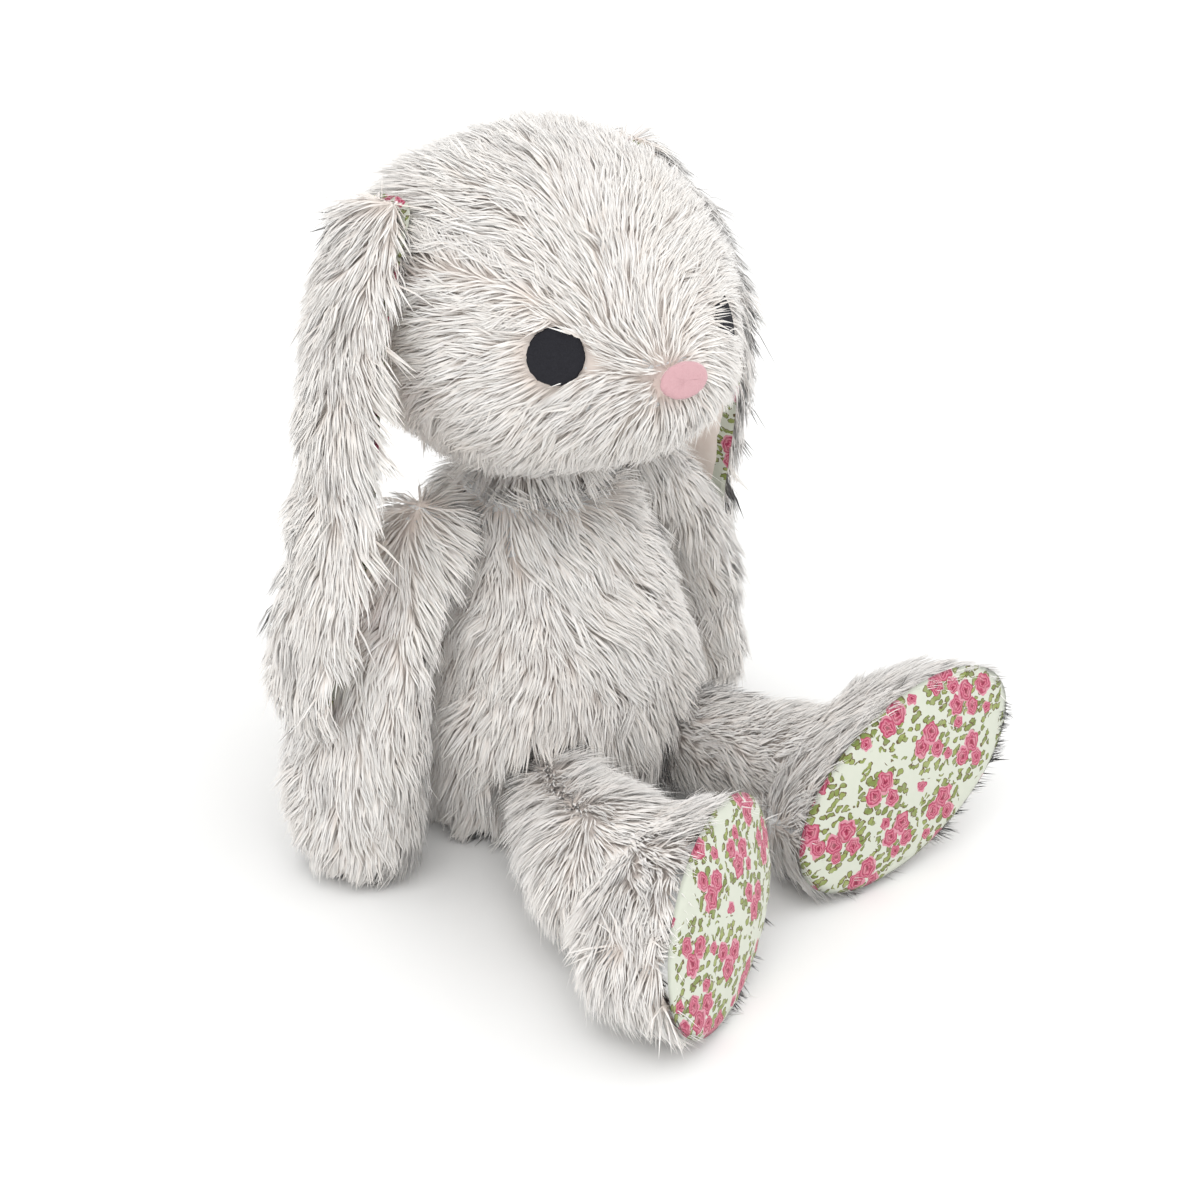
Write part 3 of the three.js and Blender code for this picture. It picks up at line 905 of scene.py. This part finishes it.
class RABBIT_OT_head(bpy.types.Operator):
    """Head in short pile that lies back from the nose"""

    bl_idname = "rabbit.head"
    bl_label = "Head"

    def execute(self, context):
        pile = HEAD_PILE._replace(length=context.scene.rabbit_plush.head_pile)
        panels = ["head_gusset", "head_left_panel", "head_right_panel"]
        cover = cover_over("head_plush", [*panels, "head_stuffing"], panels)
        nose = middle_of("nose")
        low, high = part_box("head_left_panel")
        chin = low.z + 0.35 * (high.z - low.z)
        discs = [patch_frame(node, (0, -1, 0)) for node in ("eye_left", "eye_right", "nose")]

        def back_from_nose(points, normals):
            away = unit(points - nose)
            drop = np.clip((chin + 25 * MM - points[:, 2]) / (50 * MM), 0, 1) * 0.9
            behind = np.clip((points[:, 1] - nose[1]) / (150 * MM), 0, 1)
            away[:, 2] -= 0.1 + drop + behind
            return away

        def under_face(points, normals):
            hidden = np.zeros(len(points), bool)
            for order, (centre, long_, short, normal, half) in enumerate(discs):
                away = points - centre
                spread = ((away @ long_) / half[0]) ** 2 + ((away @ short) / half[1]) ** 2
                hidden |= (spread < FACE_REACH[order]) & (np.abs(away @ normal) < 20 * MM)
            return hidden

        roots = [
            np.array(joint["pos_m"])
            for joint in frame["record"]["behaviour"]["joints"]
            if joint["child"].startswith("ear_")
        ]

        def by_the_ears(points):
            near = np.min([np.linalg.norm(points - root, axis=1) for root in roots], axis=0)
            return EAR_ROOT_LONGER * np.clip(1 - near / EAR_ROOT_REACH, 0, 1)

        way = parted(back_from_nose, HEAD_SEAM)
        grow_pile(cover, "head", panels, pile, way, under_face, 3, longer=by_the_ears)
        return {"FINISHED"}


class RABBIT_OT_ears(bpy.types.Operator):
    """Ears of plush, lined with printed cotton"""

    bl_idname = "rabbit.ears"
    bl_label = "Ears"

    def execute(self, context):
        pile = EAR_PILE._replace(length=context.scene.rabbit_plush.ear_pile)
        for order, side in enumerate(("left", "right")):
            plush, lining = f"ear_{side}_plush", f"ear_{side}_lining"
            outwards = 1 if side == "left" else -1
            cover = cover_over(f"ear_{side}_backing", [plush, lining], [plush], 2.5 * MM, 1.0 * MM)
            low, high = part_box(plush)
            middle_y = (low.y + high.y) / 2

            def lining_side(points, normals, outwards=outwards, high=high):
                below_root = points[:, 2] < high.z - EAR_ROOT_FURRED
                return (normals[:, 0] * outwards < -0.25) & below_root

            def down_to_edges(points, normals, middle_y=middle_y, low=low, high=high):
                way = np.zeros_like(points)
                way[:, 2] = -1
                way[:, 1] = 0.5 * (points[:, 1] - middle_y) / (high.y - middle_y)
                return way

            def fringe(points, low=low, middle_y=middle_y):
                return 0.6 * np.clip((middle_y - points[:, 1]) / (middle_y - low.y), 0, 1) ** 2

            grow_pile(
                cover,
                f"ear_{side}",
                [plush],
                pile,
                down_to_edges,
                lining_side,
                10 + order,
                longer=fringe,
            )
            self.line(side, lining)
        return {"FINISHED"}

    def line(self, side, lining):
        """The cotton lining, a finer copy of its layer at its full size, cut flat across and along the ear."""
        mesh = frame["nodes"][lining].data.copy()
        mesh.materials.clear()
        cloth = link(f"ear_{side}_cotton", mesh)
        finer = cloth.modifiers.new("finer", "SUBSURF")
        finer.subdivision_type = "SIMPLE"
        finer.levels = finer.render_levels = 1
        made = evaluated_mesh(cloth)
        cloth.modifiers.remove(finer)
        cloth.data = made
        shade_smooth(made)
        places = corners(made)
        layer = made.uv_layers.new(name="cut")
        index = np.empty(len(made.loops), int)
        made.loops.foreach_get("vertex_index", index)
        layer.uv.foreach_set("vector", places[index][:, 1:].astype(np.float32).ravel())
        made.materials.append(finish_of(rose_print))
        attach(cloth, f"ear_{side}")
        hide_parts(lining)


class RABBIT_OT_arms(bpy.types.Operator):
    """Arms in body-length pile"""

    bl_idname = "rabbit.arms"
    bl_label = "Arms"

    def execute(self, context):
        pile = BODY_PILE._replace(length=context.scene.rabbit_plush.body_pile * 0.9)
        for order, side in enumerate(("left", "right")):
            panels = [f"arm_{side}_front_panel", f"arm_{side}_back_panel"]
            cover = cover_over(f"arm_{side}_plush", [*panels, f"arm_{side}_stuffing"], panels)
            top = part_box(panels[0])[1].z

            def by_the_shoulder(points, top=top):
                return SHOULDER_LONGER * np.clip(1 - (top - points[:, 2]) / SHOULDER_REACH, 0, 1)

            grow_pile(
                cover,
                f"arm_{side}",
                panels,
                pile,
                down_and_out(middle_of(panels[0]) + [0, 12 * MM, 0], 0.2),
                None,
                20 + order,
                longer=by_the_shoulder,
            )
        return {"FINISHED"}


class RABBIT_OT_legs(bpy.types.Operator):
    """Legs and feet in short pile, with printed cotton soles"""

    bl_idname = "rabbit.legs"
    bl_label = "Legs and feet"

    def execute(self, context):
        pile = FOOT_PILE._replace(length=context.scene.rabbit_plush.foot_pile)
        for order, side in enumerate(("left", "right")):
            panels = [f"leg_{side}_inner_panel", f"leg_{side}_outer_panel"]
            cover = cover_over(f"leg_{side}_plush", [*panels, f"leg_{side}_stuffing"], panels)
            centre, long_, short, normal, half = patch_frame(f"sole_{side}", (0, -1, 0))
            toes = long_ * (1 if side == "left" else -1)

            def to_the_toes(points, normals, centre=centre, normal=normal, toes=toes):
                back = -((points - centre) @ normal)
                foot = np.clip((75 * MM - back) / (30 * MM), 0, 1)[:, None]
                lying = 0.7 * toes + 0.55 * normal - [0, 0, 0.4]
                return foot * lying + (1 - foot) * np.array([0, -1.0, -0.3])

            def under_sole(points, normals, centre=centre, normal=normal):
                ahead = (points - centre) @ normal
                over_the_rim = ahead > 1.5 * MM
                return over_the_rim | ((ahead > -9 * MM) & (normals @ normal > 0.75))

            way = to_the_toes
            if side == "right":
                way = parted(combed(*(0.5 * normal - [0, 0, 0.9])), FOOT_SEAM)
            grow_pile(cover, f"leg_{side}", panels, pile, way, under_sole, 30 + order)
            self.sole(side, centre, toes, normal, half)
        return {"FINISHED"}

    def sole(self, side, centre, toes, normal, half):
        """Oval cotton sole, crowned by the stuffing and puckered where it is sewn in."""
        around, steps = 96, 16
        short = np.cross(normal, toes)
        angles = np.arange(around) / around * 2 * math.pi
        base = centre - normal * half[2]
        dents = np.random.default_rng(SEED + 50).normal(0, 1, (6, 3))
        vertices = [base + normal * SOLE_CROWN]
        flat = [(0.0, 0.0)]
        for step in range(1, steps + 1):
            share = step / steps
            pucker = np.clip((share - 0.72) / 0.28, 0, 1) ** 1.5
            for angle in angles:
                x, y = share * half[0] * math.cos(angle), share * half[1] * math.sin(angle)
                height = SOLE_CROWN * (1 - share**2.2) + 0.2 * MM
                height += pucker * 0.35 * MM * math.sin(31 * angle) * math.sin(7 * angle + 1)
                for a, b, c in dents:
                    height += 0.22 * MM * math.sin(x / (9 * MM) * a + y / (9 * MM) * b + c)
                if step == steps:
                    height = -SOLE_TUCK
                vertices.append(base + x * toes + y * short + normal * height)
                flat.append((x, y))
        vertices.append(base - normal * SOLE_TUCK)
        flat.append((0.0, 0.0))
        faces = [[0, 1 + k, 1 + (k + 1) % around] for k in range(around)]
        for step in range(steps - 1):
            for k in range(around):
                a, b = 1 + step * around + k, 1 + step * around + (k + 1) % around
                faces.append([a, a + around, b + around, b])
        last = 1 + (steps - 1) * around
        faces += [[last + (k + 1) % around, last + k, len(vertices) - 1] for k in range(around)]
        mesh = mesh_of(f"sole_{side}_cotton", vertices, faces)
        for vertex in mesh.vertices:
            vertex.co.z = max(vertex.co.z, GROUND_CLEARANCE)
        layer = mesh.uv_layers.new(name="cut")
        for polygon in mesh.polygons:
            for corner in polygon.loop_indices:
                layer.uv[corner].vector = flat[mesh.loops[corner].vertex_index]
        mesh.materials.append(finish_of(rose_print))
        sole = link(f"sole_{side}_cotton", mesh)
        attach(sole, f"leg_{side}")
        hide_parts(f"sole_{side}")


class RABBIT_OT_face(bpy.types.Operator):
    """Felt eyes and velour nose"""

    bl_idname = "rabbit.face"
    bl_label = "Eyes and nose"

    def execute(self, context):
        for node, make, slot in (
            ("eye_left", black_felt, "felt"),
            ("eye_right", black_felt, "felt"),
            ("nose", pink_velour, "velour"),
        ):
            self.cut_piece(node, finish_of(make), slot)
        return {"FINISHED"}

    def cut_piece(self, node, material, slot):
        """A cut disc of cloth with a soft rim, lying on the pile."""
        centre, long_, short, normal, half = patch_frame(node, (0, -1, 0))
        centre = centre - normal * FACE_DEPTH[slot]
        draw = np.random.default_rng(SEED + len(node))
        around = 72
        rim = 1 + 0.012 * draw.normal(0, 1, around)
        # Share of the radius and height over the middle of the cloth, from the front round to the back.
        thick = half[2]
        outline = [(0.0, 1.0), (0.3, 1.02), (0.6, 1.0), (0.82, 0.9), (0.94, 0.6), (1.0, 0.0)]
        outline += [(0.97, -0.7), (0.9, -1.0), (0.5, -1.0), (0.0, -1.0)]
        vertices, rows = [], []
        for share, height in outline:
            count = around if share > 0 else 1
            rows.append(range(len(vertices), len(vertices) + count))
            for k in range(count):
                angle = k / around * 2 * math.pi
                wide = share * (rim[k] if share > 0.9 else 1)
                vertices.append(
                    centre
                    + long_ * half[0] * wide * math.cos(angle)
                    + short * half[1] * wide * math.sin(angle)
                    + normal * thick * (height + (0.05 * draw.normal() if share else 0))
                )
        faces = []
        for ahead, behind in zip(rows, rows[1:]):
            for k in range(around):
                n = (k + 1) % around
                a, b = (ahead[0], ahead[0]) if len(ahead) == 1 else (ahead[k], ahead[n])
                c, d = (behind[0], behind[0]) if len(behind) == 1 else (behind[n], behind[k])
                faces.append(list(dict.fromkeys((a, d, c, b))))
        mesh = mesh_of(node, vertices, faces)
        mesh.materials.append(material)
        piece = link(f"{node}_{slot}", mesh)
        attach(piece, "head")
        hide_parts(node)


class RABBIT_OT_stuffing(bpy.types.Operator):
    """Finish of the stuffing and the pellet bag inside the covers"""

    bl_idname = "rabbit.stuffing"
    bl_label = "Stuffing"

    def execute(self, context):
        for name, node in frame["nodes"].items():
            if not node.hide_render:
                make = pellet_bag_cloth if "pellet" in name else hollow_fibre
                node.data.materials.clear()
                node.data.materials.append(finish_of(make))
        return {"FINISHED"}


CAMERA_PLACE = Vector((-0.5931, -0.5931, 0.4460))
CAMERA_AIM = Vector((0.042, 0.002, 0.059))
CAMERA_LENS = 75
WORLD_STRENGTH = 1.14


class RABBIT_OT_stage(bpy.types.Operator):
    """Floor, soft lights and camera"""

    bl_idname = "rabbit.stage"
    bl_label = "Stage"

    def execute(self, context):
        scene, stage = context.scene, context.scene.rabbit_stage
        floor_mesh = bpy.data.meshes.new("floor")
        size = 4.0
        edge = [(-size, -size, 0), (size, -size, 0), (size, size, 0), (-size, size, 0)]
        floor_mesh.from_pydata(edge, [], [[0, 1, 2, 3]])
        material, _, _ = new_material(
            "matt studio floor", Roughness=0.9, **{"Base Color": (*stage.floor_colour, 1)}
        )
        floor_mesh.materials.append(material)
        link("floor", floor_mesh)

        camera = bpy.data.objects.new("camera", bpy.data.cameras.new("camera"))
        scene.collection.objects.link(camera)
        camera.location = CAMERA_PLACE
        camera.rotation_euler = (CAMERA_AIM - CAMERA_PLACE).to_track_quat("-Z", "Y").to_euler()
        camera.data.lens = CAMERA_LENS
        camera.data.sensor_width = 36
        scene.camera = camera

        self.light("key", (-0.9, -0.7, 1.5), 1.4, stage.key_power)
        self.light("fill", (1.1, -0.9, 0.9), 1.2, stage.key_power * 0.35)
        world = bpy.data.worlds.new("studio")
        scene.world = world
        world.use_nodes = True
        world.node_tree.nodes["Background"].inputs[0].default_value = shade("#ffffff")
        world.node_tree.nodes["Background"].inputs[1].default_value = WORLD_STRENGTH
        scene.view_settings.view_transform = "Standard"
        return {"FINISHED"}

    def light(self, name, place, size, power):
        """A square soft light aimed at the rabbit's chest."""
        lamp = bpy.data.lights.new(name, "AREA")
        lamp.size = size
        lamp.energy = power
        thing = bpy.data.objects.new(name, lamp)
        bpy.context.scene.collection.objects.link(thing)
        thing.location = place
        aim = Vector((0, 0, 0.12)) - thing.location
        thing.rotation_euler = aim.to_track_quat("-Z", "Y").to_euler()


class RABBIT_PT_panel(bpy.types.Panel):
    """Sizes, colours and steps of the rabbit"""

    bl_idname = "RABBIT_PT_panel"
    bl_label = "Stuffed rabbit"
    bl_space_type = "VIEW_3D"
    bl_region_type = "UI"
    bl_category = "Rabbit"

    def draw(self, context):
        for group in SETTINGS:
            for name in group[1].__annotations__:
                self.layout.prop(getattr(context.scene, group[0]), name)
        for step in STEPS:
            self.layout.operator(step.bl_idname)


SETTINGS = (
    ("rabbit_plush", RabbitPlushSettings),
    ("rabbit_cotton", RabbitCottonSettings),
    ("rabbit_face", RabbitFaceSettings),
    ("rabbit_stage", RabbitStageSettings),
)
STEPS = (
    RABBIT_OT_stage,
    RABBIT_OT_torso,
    RABBIT_OT_head,
    RABBIT_OT_ears,
    RABBIT_OT_arms,
    RABBIT_OT_legs,
    RABBIT_OT_face,
    RABBIT_OT_stuffing,
)


def register():
    for name, group in SETTINGS:
        bpy.utils.register_class(group)
        setattr(bpy.types.Scene, name, PointerProperty(type=group))
    for step in (*STEPS, RABBIT_PT_panel):
        bpy.utils.register_class(step)


def unregister():
    for step in (RABBIT_PT_panel, *reversed(STEPS)):
        bpy.utils.unregister_class(step)
    for name, group in reversed(SETTINGS):
        delattr(bpy.types.Scene, name)
        bpy.utils.unregister_class(group)


def main():
    register()
    bpy.ops.rabbit.stage()
    bpy.ops.rabbit.torso()
    bpy.ops.rabbit.head()
    bpy.ops.rabbit.ears()
    bpy.ops.rabbit.arms()
    bpy.ops.rabbit.legs()
    bpy.ops.rabbit.face()
    bpy.ops.rabbit.stuffing()


if __name__ == "__main__":
    main()
